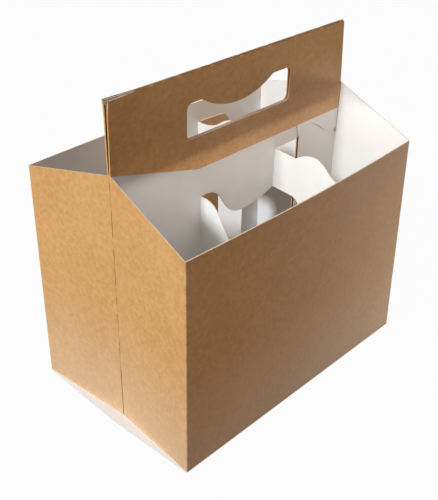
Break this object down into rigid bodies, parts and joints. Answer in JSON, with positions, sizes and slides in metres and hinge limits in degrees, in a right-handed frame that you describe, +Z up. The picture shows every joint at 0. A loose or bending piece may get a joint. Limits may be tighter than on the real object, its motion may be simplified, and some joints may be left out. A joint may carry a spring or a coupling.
{
  "type": "six-pack bottle carrier",
  "caption": "Open paperboard bottle carrier with a folded centre handle, hand hole, peaked ends and swung-out divider straps between its cells.",
  "frame": {"origin": "middle of the base of the outer box", "axes": "+Z up, +X along the handle towards the end with the folded-in flaps, +Y from front to back"},
  "size_m": [0.2035, 0.13, 0.2155],
  "materials": {
    "kraft_board": "uncoated kraft brown outside, matte clay white inside, pale cut edges"
  },
  "bodies": {
    "root": {"carrier": "kraft_board"}
  },
  "joints": []
}
